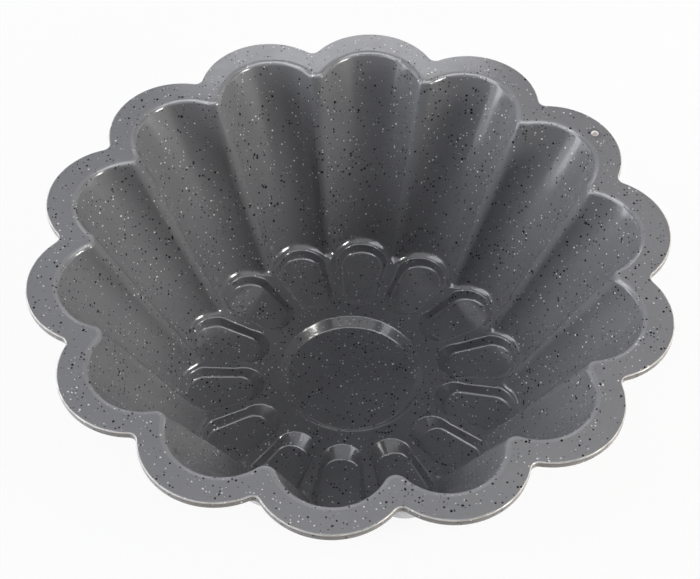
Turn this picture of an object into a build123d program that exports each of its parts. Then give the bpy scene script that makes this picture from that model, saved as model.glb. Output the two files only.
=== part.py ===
from build123d import *
from math import asin, atan2, cos, degrees, hypot, radians, sin
import os

os.makedirs("parts", exist_ok=True)

# Brioche mould: a soft shell with 14 flutes, stiffened by a flat ring that is
# sealed inside its rim. Lengths are millimetres. The mould stands on z = 0 with
# its mouth up, its axis is Z, and one lobe points along -Y.

# Counts and angles
lobes = 14
half_pitch = 180 / lobes
front_angle = -90
top_pin_lobe = 5
lobes_per_bottom_pin = 2

# Cavity, measured on the inside faces before their edges are rounded
mouth_radius = 113.2
floor_radius = 71.0
cavity_depth = 74.2
flute_depth = 12.8
ridge_bend = 4.5
mouth_rounding = 2.5

# Wall and flange of the shell
wall_thickness = 2.2
outside_groove_bend = 2.0
flange_width = 11.8
flange_notch_width = 13.8
flange_notch_bend = 3.0
flange_thickness = 3.2
flange_rounding = 0.7
flange_root_rounding = 1.5

# Sunken petals and disc in the floor, and the feet that they form underneath
recess_depth = 3.6
recess_rounding = 0.8
recess_floor_rounding = 1.2
disc_radius = 29.7
disc_slope = 3.2
web_width = 6.5
petal_ledge = 0.8
petal_side_ledge = 1.8
rib_width = 2.7
petal_slope_outside = 1.6
petal_slope_side = 2.4
petal_slope_inside = 5.0
foot_rounding = 1.0

# Stiffening ring in the rim, and the marks that its locating pins leave
frame_width = 5.0
frame_thickness = 1.2
frame_bend = 2.0
pin_mark_radius = 1.1
pin_mark_rounding = 0.35

# Heights above the surface that the mould stands on
floor_level = wall_thickness
web_level = floor_level + recess_depth
web_underside = web_level - wall_thickness
rim_top = web_level + cavity_depth
flange_underside = rim_top - flange_thickness
frame_underside = flange_underside + (flange_thickness - frame_thickness) / 2
frame_top = frame_underside + frame_thickness

# The flutes are cones with one apex, so the floor's outline is the mouth's
# outline, drawn in by this share
cone_share = floor_radius / mouth_radius
mouth_ridge_radius = mouth_radius - flute_depth
floor_ridge_radius = mouth_ridge_radius * cone_share

# The outside follows the inside at the wall's thickness, measured square to it
wall_slant = hypot(mouth_radius - floor_radius, cavity_depth)
wall_offset = wall_thickness * wall_slant / cavity_depth

# The arcs of a scalloped outline: centre and bend of its lobes, and centre of the
# small arcs between them
def scallop_arcs(tip, notch, bend):
    bend_centre = notch + bend
    reach = tip + bend
    gap = reach - bend_centre * cos(radians(half_pitch))
    lobe_centre = (reach**2 - bend_centre**2) / (2 * gap)
    return lobe_centre, tip - lobe_centre, bend_centre


# Petal outline at the web. Its outer arc fits the end of its flute, and leaves a
# rib beside the next petal. Its inner arc leaves a rib too.
pitch_sine = sin(radians(half_pitch))
floor_lobe_bend = scallop_arcs(floor_radius, floor_ridge_radius, ridge_bend * cone_share)[1]
petal_outer_end = floor_radius - petal_ledge
petal_inner_end = disc_radius + web_width
petal_bend_by_rib = (petal_outer_end * pitch_sine - rib_width / 2) / (1 + pitch_sine)
petal_outer_bend = min(petal_bend_by_rib, floor_lobe_bend - petal_side_ledge)
petal_inner_bend = (petal_inner_end * pitch_sine - rib_width / 2) / (1 - pitch_sine)
petal_centres_apart = petal_outer_end - petal_outer_bend - petal_inner_end - petal_inner_bend
petal_splay_share = (petal_outer_bend - petal_inner_bend) / petal_centres_apart

# Circle through the middle of the flange at the lobes, where the pins stood
pin_circle = mouth_radius + flange_width / 2
top_pin_angles = [front_angle + 2 * half_pitch * top_pin_lobe]
bottom_pin_lobes = range(0, lobes, lobes_per_bottom_pin)
bottom_pin_angles = [front_angle + 2 * half_pitch * lobe for lobe in bottom_pin_lobes]


def polar(radius, angle):
    return (radius * cos(radians(angle)), radius * sin(radians(angle)))


def scallop(tip, notch, bend, mode=Mode.ADD):
    """A face with one round lobe per flute, out to the tip radius. Between two
    lobes, an arc of the radius bend touches the notch radius."""
    lobe_centre, lobe_bend, bend_centre = scallop_arcs(tip, notch, bend)
    bend_x, bend_y = polar(bend_centre, half_pitch)
    joint_share = lobe_bend / (lobe_bend + bend)
    joint_x = lobe_centre + (bend_x - lobe_centre) * joint_share
    joint_y = bend_y * joint_share
    joint_radius = hypot(joint_x, joint_y)
    joint_angle = degrees(atan2(joint_y, joint_x))
    with BuildLine() as outline:
        for lobe in range(lobes):
            middle = front_angle + 2 * half_pitch * lobe
            lobe_start = polar(joint_radius, middle - joint_angle)
            lobe_end = polar(joint_radius, middle + joint_angle)
            next_start = polar(joint_radius, middle + 2 * half_pitch - joint_angle)
            ThreePointArc(lobe_start, polar(tip, middle), lobe_end)
            ThreePointArc(lobe_end, polar(notch, middle + half_pitch), next_start)
    make_face(outline.edges(), mode=mode)


def petal(outer_end, inner_end, outer_bend):
    """A face along +X: a large arc outside, a smaller one inside, and two
    straight sides that touch both and keep their splay whatever their length."""
    outer_centre = outer_end - outer_bend
    narrowing = (outer_centre - inner_end) * petal_splay_share
    inner_bend = (outer_bend - narrowing) / (1 - petal_splay_share)
    inner_centre = inner_end + inner_bend
    side_angle = 90 - degrees(asin(petal_splay_share))
    outer_x, outer_y = polar(outer_bend, side_angle)
    inner_x, inner_y = polar(inner_bend, side_angle)
    outer_x += outer_centre
    inner_x += inner_centre
    with BuildLine() as outline:
        CenterArc((outer_centre, 0), outer_bend, 0, side_angle)
        Line((outer_x, outer_y), (inner_x, inner_y))
        CenterArc((inner_centre, 0), inner_bend, side_angle, 180 - side_angle)
        mirror(about=Plane.XZ)
    make_face(outline.edges())


# One petal recess, as the solid that it takes away from the floor
with BuildPart() as petal_recess:
    with BuildSketch(Plane.XY.offset(floor_level)):
        petal(
            petal_outer_end - petal_slope_outside,
            petal_inner_end + petal_slope_inside,
            petal_outer_bend - petal_slope_side,
        )
    with BuildSketch(Plane.XY.offset(web_level)):
        petal(petal_outer_end, petal_inner_end, petal_outer_bend)
    loft(ruled=True)
    fillet(petal_recess.edges().group_by(Axis.Z)[0], recess_floor_rounding)

# The foot under one petal, larger than the recess by the wall all round
with BuildPart() as petal_foot:
    with BuildSketch(Plane.XY):
        petal(
            petal_outer_end - petal_slope_outside + wall_thickness,
            petal_inner_end + petal_slope_inside - wall_thickness,
            petal_outer_bend - petal_slope_side + wall_thickness,
        )
    with BuildSketch(Plane.XY.offset(web_underside)):
        petal(
            petal_outer_end + wall_thickness,
            petal_inner_end - wall_thickness,
            petal_outer_bend + wall_thickness,
        )
    loft(ruled=True)
    fillet(petal_foot.edges().group_by(Axis.Z)[0], foot_rounding)

# The disc recess in the middle of the floor, and the foot under it
with BuildPart() as disc_recess:
    with BuildSketch(Plane.XY.offset(floor_level)):
        Circle(disc_radius - disc_slope)
    with BuildSketch(Plane.XY.offset(web_level)):
        Circle(disc_radius)
    loft(ruled=True)
    fillet(disc_recess.edges().group_by(Axis.Z)[0], recess_floor_rounding)

with BuildPart() as disc_foot:
    with BuildSketch(Plane.XY):
        Circle(disc_radius - disc_slope + wall_thickness)
    with BuildSketch(Plane.XY.offset(web_underside)):
        Circle(disc_radius + wall_thickness)
    loft(ruled=True)
    fillet(disc_foot.edges().group_by(Axis.Z)[0], foot_rounding)

# The fluted cavity, as the solid that it takes away
with BuildPart() as cavity:
    with BuildSketch(Plane.XY.offset(web_level)):
        scallop(floor_radius, floor_ridge_radius, ridge_bend * cone_share)
    with BuildSketch(Plane.XY.offset(rim_top)):
        scallop(mouth_radius, mouth_ridge_radius, ridge_bend)
    loft(ruled=True)

# Flat ring that stiffens the rim, in the middle of the flange
with BuildPart() as rim_frame:
    with BuildSketch(Plane.XY.offset(frame_underside)):
        scallop(
            mouth_radius + (flange_width + frame_width) / 2,
            mouth_ridge_radius + (flange_notch_width + frame_width) / 2,
            frame_bend,
        )
        scallop(
            mouth_radius + (flange_width - frame_width) / 2,
            mouth_ridge_radius + (flange_notch_width - frame_width) / 2,
            frame_bend,
            mode=Mode.SUBTRACT,
        )
    extrude(amount=frame_thickness)

# Shell: fluted wall, flange, floor web with its petals and disc, and their feet
with BuildPart() as silicone_shell:
    with BuildSketch(Plane.XY.offset(web_underside)):
        scallop(
            floor_radius + wall_offset,
            floor_ridge_radius + wall_offset,
            outside_groove_bend * cone_share,
        )
    with BuildSketch(Plane.XY.offset(rim_top)):
        scallop(mouth_radius + wall_offset, mouth_ridge_radius + wall_offset, outside_groove_bend)
    loft(ruled=True)
    with BuildSketch(Plane.XY.offset(flange_underside)):
        scallop(
            mouth_radius + flange_width,
            mouth_ridge_radius + flange_notch_width,
            flange_notch_bend,
        )
    extrude(amount=flange_thickness)
    add(disc_foot.part)
    with PolarLocations(0, lobes, start_angle=front_angle):
        add(petal_foot.part)

    # Hollow it out
    add(cavity.part, mode=Mode.SUBTRACT)
    add(disc_recess.part, mode=Mode.SUBTRACT)
    with PolarLocations(0, lobes, start_angle=front_angle):
        add(petal_recess.part, mode=Mode.SUBTRACT)

    # Round the recesses' upper edges, the mouth and the flange
    web_face = faces().filter_by_position(Axis.Z, web_level, web_level).sort_by(SortBy.AREA)[-1]
    recess_edges = [edge for wire in web_face.inner_wires() for edge in wire.edges()]
    fillet(recess_edges, min(recess_rounding, petal_ledge))
    rim_face = faces().sort_by(Axis.Z)[-1]
    fillet(rim_face.inner_wires()[0].edges(), mouth_rounding)
    rim_face = faces().sort_by(Axis.Z)[-1]
    under_face = faces().filter_by_position(Axis.Z, flange_underside, flange_underside)[0]
    fillet(under_face.inner_wires()[0].edges(), flange_root_rounding)
    under_face = faces().filter_by_position(Axis.Z, flange_underside, flange_underside)[0]
    fillet(rim_face.outer_wire().edges() + under_face.outer_wire().edges(), flange_rounding)

    # Seat of the sealed ring, and the pin marks that reach down and up to it
    add(rim_frame.part, mode=Mode.SUBTRACT)
    with BuildSketch(Plane.XY.offset(frame_top)):
        with Locations([polar(pin_circle, angle) for angle in top_pin_angles]):
            Circle(pin_mark_radius)
    extrude(amount=rim_top - frame_top, mode=Mode.SUBTRACT)
    fillet(edges(Select.LAST).group_by(Axis.Z)[-1], pin_mark_rounding)
    with BuildSketch(Plane.XY.offset(flange_underside)):
        with Locations([polar(pin_circle, angle) for angle in bottom_pin_angles]):
            Circle(pin_mark_radius)
    extrude(amount=frame_underside - flange_underside, mode=Mode.SUBTRACT)
    fillet(edges(Select.LAST).group_by(Axis.Z)[0], pin_mark_rounding)

for name, piece in (("silicone_shell", silicone_shell), ("rim_frame", rim_frame)):
    piece.part.label = name
    export_step(piece.part, f"parts/{name}.step")
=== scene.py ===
from math import asin, atan, atan2, cos, hypot, pi, radians, sin, sqrt, tan

import bmesh
import bpy
from mathutils import Matrix, Vector, noise


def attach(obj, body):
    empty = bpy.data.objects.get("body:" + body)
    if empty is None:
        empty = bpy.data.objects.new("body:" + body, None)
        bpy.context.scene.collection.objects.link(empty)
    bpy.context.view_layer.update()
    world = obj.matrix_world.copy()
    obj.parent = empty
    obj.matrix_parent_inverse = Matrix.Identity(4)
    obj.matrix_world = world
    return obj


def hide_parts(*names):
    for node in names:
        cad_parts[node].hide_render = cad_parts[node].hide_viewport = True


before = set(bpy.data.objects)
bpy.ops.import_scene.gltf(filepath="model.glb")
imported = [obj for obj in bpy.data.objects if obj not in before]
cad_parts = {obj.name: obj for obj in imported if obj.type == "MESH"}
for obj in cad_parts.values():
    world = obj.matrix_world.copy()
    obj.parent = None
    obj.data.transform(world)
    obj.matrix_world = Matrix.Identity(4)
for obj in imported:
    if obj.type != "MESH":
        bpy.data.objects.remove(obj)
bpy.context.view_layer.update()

MM = 0.001

# Counts and angles of the mould
LOBES = 14
HALF_PITCH = pi / LOBES
FRONT_ANGLE = -pi / 2
TOP_PIN_LOBE = 5
BOTTOM_PIN_LOBES = range(0, LOBES, 2)

# Sizes of the mould in millimetres, as its solids have them
MOUTH_RADIUS = 113.2
FLOOR_RADIUS = 71.0
CAVITY_DEPTH = 74.2
FLUTE_DEPTH = 12.8
RIDGE_BEND = 4.5
MOUTH_ROUNDING = 2.5
WALL = 2.2
GROOVE_BEND = 2.0
FLANGE_WIDTH = 11.8
FLANGE_NOTCH_WIDTH = 13.8
FLANGE_NOTCH_BEND = 3.0
FLANGE_THICKNESS = 3.2
FLANGE_ROUNDING = 0.7
ROOT_ROUNDING = 1.5
RECESS_DEPTH = 3.6
RECESS_ROUNDING = 0.8
RECESS_FLOOR_ROUNDING = 1.2
DISC_RADIUS = 29.7
DISC_SLOPE = 3.2
WEB_WIDTH = 6.5
PETAL_LEDGE = 0.8
PETAL_SIDE_LEDGE = 1.8
RIB_WIDTH = 2.7
SLOPE_OUTSIDE = 1.6
SLOPE_SIDE = 2.4
SLOPE_INSIDE = 5.0
FOOT_ROUNDING = 1.0
PIN_RADIUS = 1.1
PIN_ROUNDING = 0.35
FRAME_TOP = 79.0
FRAME_UNDERSIDE = 77.8
PIN_OVERLAP = 0.05

# Heights and radii that follow from them
FLOOR_LEVEL = WALL
WEB_LEVEL = FLOOR_LEVEL + RECESS_DEPTH
WEB_UNDERSIDE = WEB_LEVEL - WALL
RIM_TOP = WEB_LEVEL + CAVITY_DEPTH
FLANGE_UNDERSIDE = RIM_TOP - FLANGE_THICKNESS
CONE_SHARE = FLOOR_RADIUS / MOUTH_RADIUS
RIDGE_RADIUS = MOUTH_RADIUS - FLUTE_DEPTH
WALL_OFFSET = WALL * hypot(MOUTH_RADIUS - FLOOR_RADIUS, CAVITY_DEPTH) / CAVITY_DEPTH
PIN_CIRCLE = MOUTH_RADIUS + FLANGE_WIDTH / 2

# Divisions of the mesh
LOBE_STEPS = 26
BEND_STEPS = 10
SECTOR_STEPS = LOBE_STEPS + BEND_STEPS
SIDE_STEPS = 12
DISC_STEPS = 14
CORNER_STEPS = 7
ROUND_STEPS = 6
WALL_ROWS = 24
FLAT_SHARES = (0.03, 0.12, 0.24, 0.36, 0.5, 0.64, 0.76, 0.88, 0.97)
WEB_SHARES = (0.35, 0.7, 0.95)
PETAL_FLOOR_SHARES = (0.03, 0.3, 0.6, 0.85, 1.0)
DISC_FLOOR_SHARES = (0.98, 0.8, 0.6, 0.4, 0.2)

# Pin marks: columns and rows of the flat that one takes up, steps of its lip,
# and how many roundings out the lip's first ring lies
PIN_COLUMNS = 2
PIN_ROWS = (2, 6)
PIN_LIP_STEPS = 4
PIN_LIP_REACH = 1.6

# Points closer than this, in millimetres, become one
MERGE_DISTANCE = 0.004

# Rows that the material treats in its own way, counted from the start of the
# flat top, of the upper edge rounding and of the lower one, and how strongly
# the painted sheen shows on the flat, where it is 1 on the mouth's rounding.
# These rows carry a painted sheen, a painted highlight along the top outer edge
# and a painted reflection on the outer side
SHEEN_FROM_FLAT = -4
SHEEN_TO_EDGE = 2
HIGHLIGHT_FROM_EDGE = 2
HIGHLIGHT_TO_EDGE = 5
SIDE_TO_LOWER_EDGE = 3
FLAT_SHEEN = 0.68

# Unevenness of the soft moulding in millimetres, none at its feet and its
# edges. The seed sets the sway of the walls, which is the clock's without it.
WAVE_SEED = 14
WAVE_LENGTH = 21.0
WAVE_HEIGHT = 0.22
WAVE_ABOVE_WEB = (1, 12)
WAVE_BELOW_FLANGE = (12, 2)
RIM_WAVE_LENGTH = 27.0
RIM_WAVE_DEPTH = 0.14
RIM_WAVE_MIDDLE = 0.5
RIM_WAVE_GAIN = 0.8

# Camera: seen from above the front lobe, a little to its right
CAMERA_DISTANCE = 712.5 * MM
CAMERA_ELEVATION = radians(49.87)
CAMERA_AZIMUTH = radians(3.77)
CAMERA_PAN = radians(-0.07)
CAMERA_TILT = radians(-1.0)
CAMERA_ROLL = radians(0.9)
CAMERA_CLIP_START = 0.01
FOCAL_PIXELS = 1854.5
PICTURE_WIDTH = 700
SENSOR_WIDTH = 36.0


# --- Outlines -------------------------------------------------------------

def polar(radius, angle):
    return Vector((radius * cos(angle), radius * sin(angle)))


def scallop_arcs(tip, notch, bend):
    """How far from the axis the arcs of the notches and of the lobes have their
    centres, and the radius of the lobes' arcs."""
    bend_centre = notch + bend
    reach = tip + bend
    gap = reach - bend_centre * cos(HALF_PITCH)
    lobe_centre = (reach**2 - bend_centre**2) / (2 * gap)
    return bend_centre, lobe_centre, tip - lobe_centre


def scallop(tip, notch, bend):
    """Points of a scalloped outline with their outward normals, sector after
    sector, each from the middle of one notch to the middle of the next."""
    bend_centre, lobe_centre, lobe_bend = scallop_arcs(tip, notch, bend)
    across = bend_centre * sin(HALF_PITCH)
    along = bend_centre * cos(HALF_PITCH) - lobe_centre
    turn = atan2(across, along)
    dip = turn - HALF_PITCH
    half_bend = BEND_STEPS // 2
    points = []
    for lobe in range(LOBES):
        middle = FRONT_ANGLE + 2 * HALF_PITCH * lobe
        for step in range(SECTOR_STEPS):
            if step < half_bend:
                normal = polar(1, middle - HALF_PITCH - dip * step / half_bend)
                point = polar(bend_centre, middle - HALF_PITCH) - bend * normal
            elif step <= half_bend + LOBE_STEPS:
                share = (step - half_bend) / LOBE_STEPS
                normal = polar(1, middle + turn * (2 * share - 1))
                point = polar(lobe_centre, middle) + lobe_bend * normal
            else:
                share = (SECTOR_STEPS - step) / half_bend
                normal = polar(1, middle + HALF_PITCH + dip * share)
                point = polar(bend_centre, middle + HALF_PITCH) - bend * normal
            points.append((point, normal))
    return points


PITCH_SINE = sin(HALF_PITCH)
FLOOR_LOBE_BEND = scallop_arcs(
    FLOOR_RADIUS, RIDGE_RADIUS * CONE_SHARE, RIDGE_BEND * CONE_SHARE
)[2]
PETAL_OUTER_END = FLOOR_RADIUS - PETAL_LEDGE
PETAL_INNER_END = DISC_RADIUS + WEB_WIDTH
PETAL_OUTER_BEND = min(
    (PETAL_OUTER_END * PITCH_SINE - RIB_WIDTH / 2) / (1 + PITCH_SINE),
    FLOOR_LOBE_BEND - PETAL_SIDE_LEDGE,
)
PETAL_INNER_BEND = (PETAL_INNER_END * PITCH_SINE - RIB_WIDTH / 2) / (1 - PITCH_SINE)
PETAL_SPLAY_SHARE = (PETAL_OUTER_BEND - PETAL_INNER_BEND) / (
    PETAL_OUTER_END - PETAL_OUTER_BEND - PETAL_INNER_END - PETAL_INNER_BEND
)


def petal(outer_end, inner_end, outer_bend):
    """Points and outward normals round a petal that lies along +X, from the
    start of its outer arc, counter-clockwise, and the ends of its spine."""
    outer_centre = outer_end - outer_bend
    narrowing = (outer_centre - inner_end) * PETAL_SPLAY_SHARE
    inner_bend = (outer_bend - narrowing) / (1 - PETAL_SPLAY_SHARE)
    inner_centre = inner_end + inner_bend
    side = pi / 2 - asin(PETAL_SPLAY_SHARE)
    ends = (Vector((inner_centre, 0)), Vector((outer_centre, 0)))
    points = []
    for step in range(SECTOR_STEPS):
        normal = polar(1, side * (2 * step / SECTOR_STEPS - 1))
        points.append((ends[1] + outer_bend * normal, normal))
    start = ends[1] + polar(outer_bend, side)
    end = ends[0] + polar(inner_bend, side)
    for step in range(SIDE_STEPS):
        points.append((start.lerp(end, step / SIDE_STEPS), polar(1, side)))
    inner_steps = DISC_STEPS + 2 * CORNER_STEPS
    for step in range(inner_steps):
        normal = polar(1, side + 2 * (pi - side) * step / inner_steps)
        points.append((ends[0] + inner_bend * normal, normal))
    start, end = Vector((end.x, -end.y)), Vector((start.x, -start.y))
    for step in range(SIDE_STEPS):
        points.append((start.lerp(end, step / SIDE_STEPS), polar(1, -side)))
    return points, ends


# --- Profiles: rows of (distance along the normal, height) -----------------

def outer_round(slope, radius):
    """Rounding between a wall that leans by slope and a level top, relative to
    the corner: from the wall's tangent point up to the top's."""
    centre = radius * (sqrt(1 + slope**2) - slope)
    first = atan(slope)
    rows = []
    for step in range(ROUND_STEPS + 1):
        angle = first + (pi / 2 - first) * step / ROUND_STEPS
        rows.append((centre - radius * cos(angle), radius * sin(angle) - radius))
    return rows


def inner_round(slope, radius, depth):
    """Rounding at the foot of such a wall, depth below its corner: from the
    wall's tangent point down to the level floor's."""
    centre = slope * (radius - depth) - radius * sqrt(1 + slope**2)
    first = atan(slope)
    rows = []
    for step in range(ROUND_STEPS + 1):
        angle = first + (pi / 2 - first) * step / ROUND_STEPS
        rows.append((centre + radius * cos(angle), radius - depth - radius * sin(angle)))
    return rows


# --- The shell ---------------------------------------------------------------

class Mesh:
    """Points, faces and marked points of a mesh, put together row by row."""

    def __init__(self):
        self.points = []
        self.faces = []
        self.tags = {}

    def tag(self, name, indices, value=1.0):
        """Give these points a value of an attribute that the material reads."""
        self.tags.setdefault(name, {}).update({index: value for index in indices})

    def row(self, points):
        """Add points, and say where they stand in the mesh."""
        first = len(self.points)
        self.points.extend(points)
        return list(range(first, len(self.points)))

    def bridge(self, lower, upper, skip=()):
        """A closed band of faces between two rows of equal length."""
        count = len(lower)
        for index in range(count):
            if index in skip:
                continue
            after = (index + 1) % count
            self.faces.append((lower[index], lower[after], upper[after], upper[index]))

    def build(self, name, distance):
        """The object, with points closer than the distance made one."""
        made = bpy.data.meshes.new(name)
        made.from_pydata([tuple(point) for point in self.points], [], self.faces)
        made.update()
        for tag, values in self.tags.items():
            layer = made.attributes.new(tag, "FLOAT", "POINT")
            for index, value in values.items():
                layer.data[index].value = value
        work = bmesh.new()
        work.from_mesh(made)
        bmesh.ops.remove_doubles(work, verts=work.verts, dist=distance)
        bmesh.ops.dissolve_degenerate(work, edges=work.edges, dist=distance)
        bmesh.ops.recalc_face_normals(work, faces=work.faces)
        for face in work.faces:
            face.smooth = True
        work.to_mesh(made)
        work.free()
        piece = bpy.data.objects.new(name, made)
        bpy.context.scene.collection.objects.link(piece)
        return piece


def lift(point, height):
    return Vector((point.x, point.y, height))


def pin_patch(mesh, rows, level, sink, pin_angle, columns, down):
    """Fill the block left open in a flat band with a round hole: a rounded lip,
    a wall, and a cap just inside the steel ring."""
    first, last = columns
    loop = [rows[0][c] for c in range(first, last)]
    loop += [rows[r][last] for r in range(len(rows) - 1)]
    loop += [rows[-1][c] for c in range(last, first, -1)]
    loop += [rows[r][first] for r in range(len(rows) - 1, 0, -1)]
    centre = polar(PIN_CIRCLE, pin_angle)
    rings = [(PIN_RADIUS + PIN_ROUNDING * PIN_LIP_REACH, level)]
    for step in range(PIN_LIP_STEPS + 1):
        angle = pi / 2 * step / PIN_LIP_STEPS
        radius = PIN_RADIUS + PIN_ROUNDING * (1 - sin(angle))
        rings.append((radius, level - down * PIN_ROUNDING * (1 - cos(angle))))
    rings.append((PIN_RADIUS, sink))
    offsets = [mesh.points[index].xy - centre for index in loop]
    angles = [atan2(offset.y, offset.x) for offset in offsets]
    turns = [(angle - angles[0]) % (2 * pi) for angle in angles]
    forward = sum(1 for a, b in zip(turns, turns[1:]) if b > a) > len(turns) / 2
    sign = 1 if forward else -1
    previous = loop
    for depth, (radius, height) in enumerate(rings):
        ring = mesh.row([
            lift(centre + polar(radius, angles[0] + sign * 2 * pi * k / len(loop)), height)
            for k in range(len(loop))
        ])
        mesh.bridge(previous, ring)
        if depth:
            # painted highlight: the lip's rings are marked to be painted near-white
            mesh.tag("pin_lip_highlight" if depth < len(rings) - 1 else "pin_seat", ring)
        previous = ring
    mesh.faces.append(tuple(previous))


def add_body_rows(mesh):
    """Wall, mouth, flange and outer wall as one band of rows round the axis."""
    floor = scallop(FLOOR_RADIUS, RIDGE_RADIUS * CONE_SHARE, RIDGE_BEND * CONE_SHARE)
    mouth = scallop(MOUTH_RADIUS, RIDGE_RADIUS, RIDGE_BEND)
    flange = scallop(
        MOUTH_RADIUS + FLANGE_WIDTH, RIDGE_RADIUS + FLANGE_NOTCH_WIDTH, FLANGE_NOTCH_BEND
    )
    base = scallop(
        FLOOR_RADIUS + WALL_OFFSET,
        RIDGE_RADIUS * CONE_SHARE + WALL_OFFSET,
        GROOVE_BEND * CONE_SHARE,
    )
    top = scallop(MOUTH_RADIUS + WALL_OFFSET, RIDGE_RADIUS + WALL_OFFSET, GROOVE_BEND)
    count = len(floor)

    columns = []
    for index in range(count):
        column = []
        f, _ = floor[index]
        m, n = mouth[index]
        slope = (m - f).dot(n) / CAVITY_DEPTH
        lip = outer_round(slope, MOUTH_ROUNDING)
        tangent = lift(m + n * lip[0][0], RIM_TOP + lip[0][1])
        bottom = lift(f, WEB_LEVEL)
        for row in range(WALL_ROWS):
            column.append(bottom.lerp(tangent, row / WALL_ROWS))
        for reach, height in lip:
            column.append(lift(m + n * reach, RIM_TOP + height))

        edge, en = flange[index]
        inner = lift(m + n * lip[-1][0], RIM_TOP)
        outer = lift(edge - en * FLANGE_ROUNDING, RIM_TOP)
        flat_start = len(column)
        for share in FLAT_SHARES:
            column.append(inner.lerp(outer, share))
        for step in range(ROUND_STEPS + 1):
            angle = pi / 2 * step / ROUND_STEPS
            reach = FLANGE_ROUNDING * (sin(angle) - 1)
            height = RIM_TOP - FLANGE_ROUNDING * (1 - cos(angle))
            column.append(lift(edge + en * reach, height))
        for step in range(ROUND_STEPS + 1):
            angle = pi / 2 * step / ROUND_STEPS
            reach = FLANGE_ROUNDING * (cos(angle) - 1)
            height = FLANGE_UNDERSIDE + FLANGE_ROUNDING * (1 - sin(angle))
            column.append(lift(edge + en * reach, height))

        b, _ = base[index]
        t, tn = top[index]
        rise = RIM_TOP - WEB_UNDERSIDE
        slope = (t - b).dot(tn) / rise
        corner = b.lerp(t, (FLANGE_UNDERSIDE - WEB_UNDERSIDE) / rise)
        root = outer_round(slope, ROOT_ROUNDING)[::-1]
        outer = lift(edge - en * FLANGE_ROUNDING, FLANGE_UNDERSIDE)
        inner = lift(corner + tn * root[0][0], FLANGE_UNDERSIDE)
        under_start = len(column)
        for share in FLAT_SHARES:
            column.append(outer.lerp(inner, share))
        for reach, height in root:
            column.append(lift(corner + tn * reach, FLANGE_UNDERSIDE + height))
        tangent = column[-1]
        bottom = lift(b, WEB_UNDERSIDE)
        for row in range(1, WALL_ROWS + 1):
            column.append(tangent.lerp(bottom, row / WALL_ROWS))
        columns.append(column)

    rows = [mesh.row([column[r] for column in columns]) for r in range(len(columns[0]))]
    edge_start = flat_start + len(FLAT_SHARES)
    side_start = edge_start + ROUND_STEPS + 1
    for r in range(1, WALL_ROWS - 1):
        mesh.tag("duller", rows[r])
        mesh.tag("duller", rows[-1 - r])
    # painted sheen: rows of the mouth's rounding and the flat top, marked to be painted paler
    for r in range(flat_start + SHEEN_FROM_FLAT, edge_start + SHEEN_TO_EDGE):
        mesh.tag("painted_rim_sheen", rows[r], 1.0 if r < flat_start else FLAT_SHEEN)
    # painted highlight: rows along the top outer edge, marked for a pale cream line
    for r in range(edge_start + HIGHLIGHT_FROM_EDGE, edge_start + HIGHLIGHT_TO_EDGE):
        mesh.tag("painted_edge_highlight", rows[r])
    # painted reflection: rows of the outer side, marked for a warm grey that stands in for the
    # floor's reflection
    for r in range(edge_start + HIGHLIGHT_TO_EDGE, side_start + SIDE_TO_LOWER_EDGE):
        mesh.tag("edge_side_reflection", rows[r])

    half = SECTOR_STEPS // 2
    pins = {(TOP_PIN_LOBE, True): flat_start}
    pins.update({(lobe, False): under_start for lobe in BOTTOM_PIN_LOBES})
    skips = {}
    for (lobe, on_top), start in pins.items():
        first = lobe * SECTOR_STEPS + half - PIN_COLUMNS
        last = lobe * SECTOR_STEPS + half + PIN_COLUMNS
        block = rows[start + PIN_ROWS[0]:start + PIN_ROWS[1] + 1]
        for r in range(start + PIN_ROWS[0], start + PIN_ROWS[1]):
            skips.setdefault(r, set()).update(range(first, last))
        angle = FRONT_ANGLE + 2 * HALF_PITCH * lobe
        level = RIM_TOP if on_top else FLANGE_UNDERSIDE
        sink = FRAME_TOP - PIN_OVERLAP if on_top else FRAME_UNDERSIDE + PIN_OVERLAP
        pin_patch(mesh, block, level, sink, angle, (first, last), 1 if on_top else -1)
    for r in range(len(rows) - 1):
        mesh.bridge(rows[r], rows[r + 1], skips.get(r, ()))
    return rows[0], rows[-1]


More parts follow.
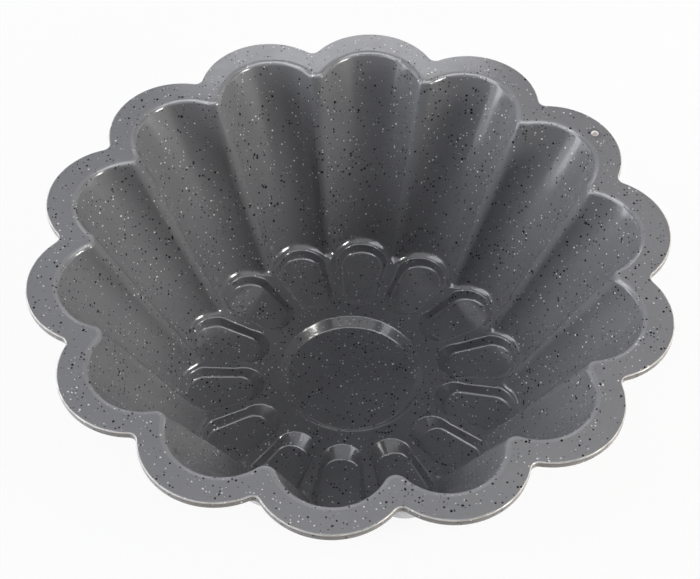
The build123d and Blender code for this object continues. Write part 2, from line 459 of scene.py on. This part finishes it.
def add_floor(mesh, boundary, level, grow, disc_radius, rounding, foot_rounding):
    """The web round the petals and the disc, with the petals and the disc
    themselves, sunk by the recess depth. The underside is the same, with all
    outlines larger by the wall."""
    top, _ = petal(PETAL_OUTER_END + grow, PETAL_INNER_END - grow, PETAL_OUTER_BEND + grow)
    bottom, spine = petal(
        PETAL_OUTER_END - SLOPE_OUTSIDE + grow,
        PETAL_INNER_END + SLOPE_INSIDE - grow,
        PETAL_OUTER_BEND - SLOPE_SIDE + grow,
    )
    disc_slope = DISC_SLOPE / RECESS_DEPTH
    disc_lip = outer_round(disc_slope, rounding)[::-1] if rounding else [(0, 0)]
    disc_edge = disc_radius + disc_lip[0][0]
    ray = polar(1, HALF_PITCH)

    rings = []
    cut = []
    for (t, n), (b, _) in zip(top, bottom):
        slope = (t - b).dot(n) / RECESS_DEPTH
        profile = outer_round(slope, rounding)[::-1] if rounding else [(0, 0)]
        profile += inner_round(slope, foot_rounding, RECESS_DEPTH)
        column = [lift(t + n * reach, level + height) for reach, height in profile]
        plane = Vector((-ray.y, ray.x if t.y > 0 else -ray.x))
        beyond = column[0].xy.dot(plane)
        cut.append(beyond > 0)
        if beyond > 0:
            # the neighbouring foot meets this one in the sector's side plane
            inside = column[1].xy.dot(plane)
            column[0] = column[1].lerp(column[0], -inside / (beyond - inside))
        floor_point = column[-1].copy()
        along = min(max(floor_point.x, spine[0].x), spine[1].x)
        centre = Vector((along, 0, floor_point.z))
        for share in PETAL_FLOOR_SHARES:
            column.append(floor_point.lerp(centre, share))
        rings.append(column)

    # the loop of the sector's boundary, point for point beside the petal's loop
    count = len(rings)
    edge = []
    side_start = SECTOR_STEPS
    disc_start = side_start + SIDE_STEPS + CORNER_STEPS
    disc_end = disc_start + DISC_STEPS
    for index in range(count):
        near = rings[index][0]
        if disc_start <= index <= disc_end:
            share = (index - disc_start) / DISC_STEPS
            edge.append(lift(polar(disc_edge, HALF_PITCH * (1 - 2 * share)), level))
        elif cut[index]:
            edge.append(near)
        elif index > side_start:
            side = ray if near.y > 0 else Vector((ray.x, -ray.y))
            edge.append(lift(side * near.xy.dot(side), level))
        else:
            edge.append(None)

    for lobe in range(LOBES):
        turn = Matrix.Rotation(FRONT_ANGLE + 2 * HALF_PITCH * lobe, 3, "Z")
        outer = []
        for index in range(count):
            if edge[index] is None:
                at = (lobe * SECTOR_STEPS + index) % len(boundary)
                outer.append(boundary[at])
            else:
                outer.append(mesh.row([turn @ edge[index]])[0])
        rows = [
            mesh.row([turn @ column[depth] for column in rings])
            for depth in range(len(rings[0]))
        ]
        web = [outer]
        for share in WEB_SHARES if rounding else ():
            web.append(mesh.row([
                mesh.points[outer[index]].lerp(mesh.points[rows[0][index]], share)
                for index in range(count)
            ]))
        web.append(rows[0])
        both_cut = {index for index in range(count) if cut[index] and cut[(index + 1) % count]}
        for lower, upper in zip(web, web[1:]):
            mesh.bridge(lower, upper, both_cut)
        for lower, upper in zip(rows, rows[1:]):
            mesh.bridge(lower, upper)

    # the disc, one ring of points after another
    disc_foot = inner_round(disc_slope, foot_rounding, RECESS_DEPTH)
    profile = [
        (disc_radius + reach, level + height) for reach, height in disc_lip + disc_foot
    ]
    floor_radius = profile[-1][0]
    profile += [
        (floor_radius * share, level - RECESS_DEPTH) for share in DISC_FLOOR_SHARES
    ]
    segments = LOBES * DISC_STEPS
    start = FRONT_ANGLE - HALF_PITCH
    rows = [
        mesh.row([
            lift(polar(radius, start + 2 * pi * k / segments), height) for k in range(segments)
        ])
        for radius, height in profile
    ]
    for lower, upper in zip(rows, rows[1:]):
        mesh.bridge(lower, upper)
    mesh.faces.append(tuple(rows[-1]))


def ease(value, start, end):
    """From 0 at the start to 1 at the end, without a kink."""
    share = min(max((value - start) / (end - start), 0), 1)
    return share * share * (3 - 2 * share)


def wave(point):
    """Slight unevenness: the wall sways, and the top of the rim dips."""
    first, full = WAVE_ABOVE_WEB
    hold = ease(point.z, WEB_LEVEL + first, WEB_LEVEL + full)
    full, last = WAVE_BELOW_FLANGE
    hold *= 1 - ease(point.z, FLANGE_UNDERSIDE - full, FLANGE_UNDERSIDE - last)
    sway = noise.noise_vector(point / WAVE_LENGTH) * WAVE_HEIGHT * hold
    top = ease(point.z, FRAME_TOP, RIM_TOP)
    dip = RIM_WAVE_MIDDLE + RIM_WAVE_GAIN * noise.noise(point / RIM_WAVE_LENGTH)
    dip = min(max(dip, 0), 1)
    return point + sway - Vector((0, 0, dip * top * RIM_WAVE_DEPTH))


def shell():
    mesh = Mesh()
    inside, outside = add_body_rows(mesh)
    add_floor(
        mesh, inside, WEB_LEVEL, 0, DISC_RADIUS, RECESS_ROUNDING, RECESS_FLOOR_ROUNDING
    )
    add_floor(mesh, outside, WEB_UNDERSIDE, WALL, DISC_RADIUS + WALL, 0, FOOT_ROUNDING)
    noise.seed_set(WAVE_SEED)
    mesh.points = [wave(point) * MM for point in mesh.points]
    return mesh.build("mould_shell", MERGE_DISTANCE * MM)


# --- Camera and light -------------------------------------------------------

def add_camera():
    centre = Vector((0, 0, RIM_TOP * MM))
    away = Vector((0, -cos(CAMERA_ELEVATION), sin(CAMERA_ELEVATION)))
    turn = Matrix.Rotation(CAMERA_AZIMUTH, 3, "Z")
    forward = turn @ -away
    right = turn @ Vector((1, 0, 0))
    up = right.cross(forward)
    forward, right = (
        forward * cos(CAMERA_PAN) + right * sin(CAMERA_PAN),
        right * cos(CAMERA_PAN) - forward * sin(CAMERA_PAN),
    )
    forward, up = (
        forward * cos(CAMERA_TILT) + up * sin(CAMERA_TILT),
        up * cos(CAMERA_TILT) - forward * sin(CAMERA_TILT),
    )
    right, up = (
        right * cos(CAMERA_ROLL) + up * sin(CAMERA_ROLL),
        up * cos(CAMERA_ROLL) - right * sin(CAMERA_ROLL),
    )
    data = bpy.data.cameras.new("camera")
    data.sensor_width = SENSOR_WIDTH
    data.lens = FOCAL_PIXELS / PICTURE_WIDTH * SENSOR_WIDTH
    data.clip_start = CAMERA_CLIP_START
    camera = bpy.data.objects.new("camera", data)
    bpy.context.scene.collection.objects.link(camera)
    basis = Matrix((right, up, -forward)).transposed().to_4x4()
    camera.matrix_world = Matrix.Translation(centre + (turn @ away) * CAMERA_DISTANCE) @ basis
    bpy.context.scene.camera = camera


# Area lamps: name, azimuth, elevation, width and height in degrees as the mould
# sees them, radiance, colour, and whether they light the pigment and shine on it.
# Azimuth is counter-clockwise from +X, and the camera stands at -86 degrees.
BOTH = (True, True)
SOFT = (True, False)
SHINE = (False, True)
WARM = (1.0, 0.98, 0.935)
COOL = (0.94, 0.955, 1.0)
SKY = (0.97, 0.975, 1.0)
LAMPS = (
    ("left_box", 185, 15, 52, 30, 8.8, COOL, SOFT),
    ("left_glow", 194, 16, 13, 30, 5.5, COOL, SHINE),
    ("left_halo", 186, 17, 62, 38, 2.8, COOL, SHINE),
    ("left_top", 172, 36, 36, 8, 4.0, COOL, SOFT),
    ("right_core", -20, 23, 30, 15, 13.0, WARM, SOFT),
    ("right_halo", -20, 20, 54, 32, 1.4, WARM, SHINE),
    ("right_spark", -22, 38, 18, 10, 14.0, WARM, SHINE),
    ("right_wide", 8, 18, 26, 30, 6.4, WARM, SOFT),
    ("right_glow", 6, 19, 34, 40, 1.3, WARM, SHINE),
    ("right_trail", 33, 18, 24, 12, 4.5, WARM, BOTH),
    ("key", -24, 32, 17, 6, 130.0, WARM, SHINE),
    ("front_top", -90, 51, 90, 40, 2.6, SKY, SHINE),
    ("front_left", -150, 46, 44, 38, 7.0, COOL, SHINE),
    ("back_top", 85, 67, 60, 16, 0.4, SKY, SHINE),
    ("back_low", 95, 37, 20, 9, 6.0, SKY, SHINE),
    ("top_shine", 90, 89, 200, 26, 8.0, SKY, SHINE),
    ("right_high", 0, 50, 30, 20, 1.9, SKY, SOFT),
    ("ceiling", 90, 88, 200, 60, 0.34, SKY, SOFT),
)
LAMP_DISTANCE = 1.0
LAMP_AIM = Vector((0, 0, 0.05))
NARROWEST_SHARE = 0.3
SKY_COLOUR = (0.86, 0.91, 1, 1)
SKY_LEVEL = 0.08
HORIZON_LEVEL = 0.2
HORIZON_HEIGHTS = (0.05, 0.45)
HORIZON_DEPTHS = (-0.1, 0.6)
FLOOR_GLOW_SHARE = 0.9
FLOOR_SIZE = 4


def add_lamp(name, azimuth, elevation, wide, high, radiance, colour, use):
    azimuth, elevation = radians(azimuth), radians(elevation)
    level = cos(elevation)
    data = bpy.data.lights.new(name, "AREA")
    data.shape = "RECTANGLE"
    data.size = 2 * LAMP_DISTANCE * tan(radians(wide) * max(level, NARROWEST_SHARE) / 2)
    data.size_y = 2 * LAMP_DISTANCE * tan(radians(high) / 2)
    data.energy = radiance * pi * data.size * data.size_y
    data.color = colour
    light = bpy.data.objects.new(name, data)
    bpy.context.scene.collection.objects.link(light)
    light.visible_diffuse, light.visible_glossy = use
    toward = Vector((level * cos(azimuth), level * sin(azimuth), sin(elevation)))
    light.location = LAMP_AIM + toward * LAMP_DISTANCE
    light.rotation_euler = (-toward).to_track_quat("-Z", "Y").to_euler()


# --- Materials ----------------------------------------------------------------

def new_tree(owner):
    owner.use_nodes = True
    owner.node_tree.nodes.clear()
    return owner.node_tree


def add_node(tree, kind, sockets, **settings):
    """A shader node, with its settings, and its inputs linked or given a value."""
    made = tree.nodes.new("ShaderNode" + kind)
    for name, value in settings.items():
        setattr(made, name, value)
    for key, value in sockets.items():
        if isinstance(value, bpy.types.NodeSocket):
            tree.links.new(value, made.inputs[key])
        else:
            made.inputs[key].default_value = value
    return made


def compute(tree, operation, *values, clamp=False):
    sockets = dict(enumerate(values))
    return add_node(tree, "Math", sockets, operation=operation, use_clamp=clamp).outputs[0]


def cloud(tree, place, scale, detail=2.0, roughness=0.5):
    """A node of noise from 0 to 1, with its scale in features per metre."""
    sockets = {"Vector": place, "Scale": scale, "Detail": detail, "Roughness": roughness}
    return add_node(tree, "TexNoise", sockets)


def spread(tree, value, low, high, first=0.3, last=0.7):
    """The noise between its usual ends, spread over a range of its own."""
    sockets = {"Value": value, 1: first, 2: last, 3: low, 4: high}
    return add_node(tree, "MapRange", sockets).outputs[0]


def blend(tree, factor, first, second):
    made = add_node(tree, "Mix", {0: factor, 6: first, 7: second}, data_type="RGBA")
    return made.outputs[2]


def specks(tree, place, offset, cell, least, most, power, soft):
    """Mask of specks: one in each cell of this size, with a radius of its own.
    The lengths are millimetres."""
    moved = add_node(tree, "VectorMath", {0: place, 1: offset}, operation="ADD").outputs[0]
    cells = add_node(tree, "TexVoronoi", {"Vector": moved, "Scale": 1 / (cell * MM)})
    parts = add_node(tree, "SeparateColor", {0: cells.outputs["Color"]})
    chance = compute(tree, "POWER", parts.outputs[0], power)
    radius = compute(tree, "MULTIPLY_ADD", chance, (most - least) / cell, least / cell)
    crowd = spread(tree, cloud(tree, moved, CROWD_SCALE, 2.0).outputs[0], *SPECK_CROWDING)
    radius = compute(tree, "MULTIPLY", radius, crowd)
    inside = compute(tree, "SUBTRACT", radius, cells.outputs["Distance"])
    return compute(tree, "DIVIDE", inside, soft / cell, clamp=True)


def bump(tree, height, strength, distance, **more):
    """A normal tilted by this height, with its distance in metres."""
    sockets = {"Strength": strength, "Distance": distance, "Height": height}
    return add_node(tree, "Bump", {**sockets, **more}).outputs[0]


def tagged(tree, name):
    return add_node(tree, "Attribute", {}, attribute_name=name).outputs["Fac"]


# Specks: an offset of their cells in metres, the size of a cell, the least and
# the most radius and the softness of the edge in millimetres, and how rare the
# large ones are
WHITE_SPECKS = {
    "offset": (0.31, 0.12, 0.07), "cell": 1.38, "least": 0.08, "most": 0.38,
    "power": 2.5, "soft": 0.06,
}
BLACK_SPECKS = {
    "offset": (0.02, 0.27, 0.19), "cell": 1.26, "least": 0.10, "most": 0.56,
    "power": 3.2, "soft": 0.06,
}
SPECK_CROWDING = (0.45, 1.3)
SPECK_RAGGEDNESS = 0.22 * MM

BODY_COLOURS = ((0.148, 0.148, 0.155, 1), (0.171, 0.171, 0.178, 1))
GRAIN_COLOUR = (0.05, 0.05, 0.055, 1)
GRAIN_SHARE = 0.16
FLAKE_COLOURS = ((0.62, 0.61, 0.58, 1), (0.86, 0.86, 0.86, 1))
BLACK_SPECK_COLOUR = (0.006, 0.006, 0.008, 1)
# painted sheen: the paler colour of the rim top and the mouth's rounding
PAINTED_SHEEN_COLOUR = (0.50, 0.50, 0.52, 1)
RIM_SHEEN_SHARE = 0.32
# painted reflection of the floor on the flange's outer side
EDGE_REFLECTION_COLOUR = (0.26, 0.235, 0.205, 1)
EDGE_REFLECTION_SHARE = 0.5
# painted highlight along the flange's top outer edge, broken up by noise
EDGE_HIGHLIGHT_COLOUR = (0.66, 0.63, 0.58, 1)
EDGE_HIGHLIGHT_SHARES = (0.45, 1.0)
# painted highlight on the pin lips
PIN_LIP_HIGHLIGHT_COLOUR = (0.84, 0.80, 0.77, 1)
PIN_SEAT_COLOUR = (0.40, 0.34, 0.33, 1)
STEEL_COLOURS = ((0.48, 0.45, 0.44, 1), (0.62, 0.59, 0.58, 1))
PAPER_COLOURS = ((0.78, 0.78, 0.78, 1), (0.84, 0.84, 0.84, 1))
SILICONE_ROUGHNESS = (0.10, 0.17)
SILICONE_HANDLING = (-0.02, 0.03)
WALL_DULLNESS = 0.05
SILICONE_IOR = 1.45
STEEL_ROUGHNESS = (0.24, 0.40)
STEEL_SMEARS = (0, 0.08)
BRUSH_STRETCH = (0.02, 1.0, 1.0)
PAPER_ROUGHNESS = 0.8

# Bumps: strength, and distance in metres
RIPPLE_BUMP = (0.35, 0.00012)
PEEL_BUMP = (0.25, 0.000012)
BRUSH_BUMP = (0.3, 0.00001)
PAPER_BUMP = (0.1, 0.00005)

# Scales of the noises, in features per metre
CROWD_SCALE = 170
RAGGED_SCALE = 2600
PIGMENT_SCALE = 30
GRAIN_SCALE = 3200
TINT_SCALE = 420
# the next scale is that of the noise that breaks up the painted edge highlight
HIGHLIGHT_BREAK_SCALE = 260
SMEAR_SCALE = 55
HANDLING_SCALE = 480
RIPPLE_SCALE = 130
PEEL_SCALE = 1500
BRUSH_SCALE = 4200
STEEL_SMEAR_SCALE = 90
FIBRE_SCALE = 900


def speckled_silicone():
    """Glossy dark silicone with specks, with a painted sheen on the rim top and
    the mouth's rounding, a painted highlight and a painted reflection on the outer
    edge, and painted highlights on the pin lips."""
    made = bpy.data.materials.new("speckled_silicone")
    tree = new_tree(made)
    place = add_node(tree, "TexCoord", {}).outputs["Object"]

    ragged = cloud(tree, place, RAGGED_SCALE, 1.0).outputs["Color"]
    shift = add_node(
        tree, "VectorMath", {0: ragged, 1: (SPECK_RAGGEDNESS,) * 3, 2: place},
        operation="MULTIPLY_ADD",
    ).outputs[0]
    white = specks(tree, shift, **WHITE_SPECKS)
    black = specks(tree, shift, **BLACK_SPECKS)

    pigment = spread(tree, cloud(tree, place, PIGMENT_SCALE, 3.0).outputs[0], 0, 1)
    body = blend(tree, pigment, *BODY_COLOURS)
    grain = spread(tree, cloud(tree, place, GRAIN_SCALE, 2.0).outputs[0], 0, GRAIN_SHARE)
    body = blend(tree, grain, body, GRAIN_COLOUR)
    tint = spread(tree, cloud(tree, place, TINT_SCALE, 1.0).outputs[0], 0, 1)
    flake = blend(tree, tint, *FLAKE_COLOURS)

    # painted sheen: the rim top and the mouth's rounding are made paler, standing in for the
    # light that falls on them
    sheen = compute(tree, "MULTIPLY", tagged(tree, "painted_rim_sheen"), RIM_SHEEN_SHARE)
    colour = blend(tree, sheen, body, PAINTED_SHEEN_COLOUR)
    # painted reflection: the flange's outer side is made warm grey-brown
    side = compute(tree, "MULTIPLY", tagged(tree, "edge_side_reflection"), EDGE_REFLECTION_SHARE)
    colour = blend(tree, side, colour, EDGE_REFLECTION_COLOUR)
    colour = blend(tree, black, colour, BLACK_SPECK_COLOUR)
    colour = blend(tree, white, colour, flake)
    # painted highlight: a pale cream line along the top outer edge, broken up by noise
    highlight_break = spread(tree, cloud(tree, place, HIGHLIGHT_BREAK_SCALE, 3.0).outputs[0], *EDGE_HIGHLIGHT_SHARES)
    edge_highlight = compute(tree, "MULTIPLY", tagged(tree, "painted_edge_highlight"), highlight_break)
    colour = blend(tree, edge_highlight, colour, EDGE_HIGHLIGHT_COLOUR)
    # painted highlight: the pin lips are made near-white
    colour = blend(tree, tagged(tree, "pin_lip_highlight"), colour, PIN_LIP_HIGHLIGHT_COLOUR)
    colour = blend(tree, tagged(tree, "pin_seat"), colour, PIN_SEAT_COLOUR)

    smear = cloud(tree, place, SMEAR_SCALE, 4.0, 0.6).outputs[0]
    gloss = spread(tree, smear, *SILICONE_ROUGHNESS)
    handled = cloud(tree, place, HANDLING_SCALE, 3.0).outputs[0]
    gloss = compute(tree, "ADD", gloss, spread(tree, handled, *SILICONE_HANDLING))
    duller = compute(tree, "MULTIPLY", tagged(tree, "duller"), WALL_DULLNESS)
    gloss = compute(tree, "ADD", gloss, duller)

    ripple = cloud(tree, place, RIPPLE_SCALE, 2.0).outputs[0]
    wavy = bump(tree, ripple, *RIPPLE_BUMP)
    peel = cloud(tree, place, PEEL_SCALE, 2.0).outputs[0]
    rough = bump(tree, peel, *PEEL_BUMP, Normal=wavy)

    shader = add_node(tree, "BsdfPrincipled", {
        "Base Color": colour,
        "Roughness": gloss,
        "IOR": SILICONE_IOR,
        "Normal": rough,
    })
    add_node(tree, "OutputMaterial", {"Surface": shader.outputs[0]})
    return made


def brushed_steel():
    """Plain stamped steel with fine lines along one way."""
    made = bpy.data.materials.new("brushed_steel")
    tree = new_tree(made)
    place = add_node(tree, "TexCoord", {}).outputs["Object"]
    drawn = add_node(tree, "Mapping", {"Vector": place, "Scale": BRUSH_STRETCH}).outputs[0]
    lines = cloud(tree, drawn, BRUSH_SCALE, 3.0, 0.7).outputs[0]
    smear = cloud(tree, place, STEEL_SMEAR_SCALE, 3.0).outputs[0]
    colour = blend(tree, spread(tree, smear, 0, 1), *STEEL_COLOURS)
    brushed = spread(tree, lines, *STEEL_ROUGHNESS)
    gloss = compute(tree, "ADD", brushed, spread(tree, smear, *STEEL_SMEARS))
    rough = bump(tree, lines, *BRUSH_BUMP)
    shader = add_node(tree, "BsdfPrincipled", {
        "Base Color": colour,
        "Metallic": 1.0,
        "Roughness": gloss,
        "Normal": rough,
    })
    add_node(tree, "OutputMaterial", {"Surface": shader.outputs[0]})
    return made


def seen_rays(tree):
    """The ray's own node, and 1 where the camera looks, or a mirror or glass
    shows the surroundings."""
    path = add_node(tree, "LightPath", {})
    camera, mirror, glass = (
        path.outputs[f"Is {kind} Ray"] for kind in ("Camera", "Glossy", "Transmission")
    )
    seen = compute(tree, "MAXIMUM", camera, mirror)
    return path, compute(tree, "MAXIMUM", seen, glass)


def white_paper():
    """The floor: white to the eye, with a faint shadow, and plain paper to light."""
    made = bpy.data.materials.new("white_paper")
    tree = new_tree(made)
    _, seen = seen_rays(tree)
    place = add_node(tree, "TexCoord", {}).outputs["Object"]
    fibre = cloud(tree, place, FIBRE_SCALE, 3.0).outputs[0]
    shade = blend(tree, spread(tree, fibre, 0, 1), *PAPER_COLOURS)
    rough = bump(tree, fibre, *PAPER_BUMP)
    paper = add_node(tree, "BsdfPrincipled", {
        "Base Color": shade,
        "Roughness": PAPER_ROUGHNESS,
        "Normal": rough,
    })
    glow = add_node(tree, "Emission", {"Color": (1, 1, 1, 1), "Strength": 1.0})
    factor = compute(tree, "MULTIPLY", seen, FLOOR_GLOW_SHARE)
    mixed = add_node(tree, "MixShader", {0: factor, 1: paper.outputs[0], 2: glow.outputs[0]})
    add_node(tree, "OutputMaterial", {"Surface": mixed.outputs[0]})
    return made


def add_world():
    """White to the camera. The light from it is dim, with a paler horizon
    behind the mould, and mirrors show a white backdrop near the horizon."""
    world = bpy.data.worlds.new("world")
    tree = new_tree(world)
    path, _ = seen_rays(tree)
    toward = add_node(tree, "TexCoord", {}).outputs["Generated"]
    parts = add_node(tree, "SeparateXYZ", {0: toward})
    low = spread(tree, parts.outputs["Z"], 1, 0, *HORIZON_HEIGHTS)
    behind = spread(tree, parts.outputs["Y"], 0, 1, *HORIZON_DEPTHS)
    horizon = compute(tree, "MULTIPLY", low, behind)
    strength = compute(tree, "MULTIPLY_ADD", horizon, HORIZON_LEVEL, SKY_LEVEL)
    dim = add_node(tree, "Background", {"Color": SKY_COLOUR, "Strength": strength})
    white = add_node(tree, "Background", {"Color": (1, 1, 1, 1), "Strength": 1.0})
    mirror = compute(
        tree, "MAXIMUM", path.outputs["Is Glossy Ray"], path.outputs["Is Transmission Ray"]
    )
    mirror = compute(tree, "MULTIPLY", mirror, horizon)
    seen = compute(tree, "MAXIMUM", path.outputs["Is Camera Ray"], mirror)
    mixed = add_node(tree, "MixShader", {0: seen, 1: dim.outputs[0], 2: white.outputs[0]})
    add_node(tree, "OutputWorld", {"Surface": mixed.outputs[0]})
    return world


# --- The scene -----------------------------------------------------------------

scene = bpy.context.scene
scene.view_settings.view_transform = "Standard"
scene.world = add_world()
add_camera()
for lamp in LAMPS:
    add_lamp(*lamp)

piece = shell()
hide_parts("silicone_shell")
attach(piece, "root")
piece.data.materials.append(speckled_silicone())

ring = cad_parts["rim_frame"]
ring.data.materials.clear()
ring.data.materials.append(brushed_steel())

bpy.ops.mesh.primitive_plane_add(size=FLOOR_SIZE)
floor = bpy.context.object
floor.name = "floor"
floor.data.materials.append(white_paper())
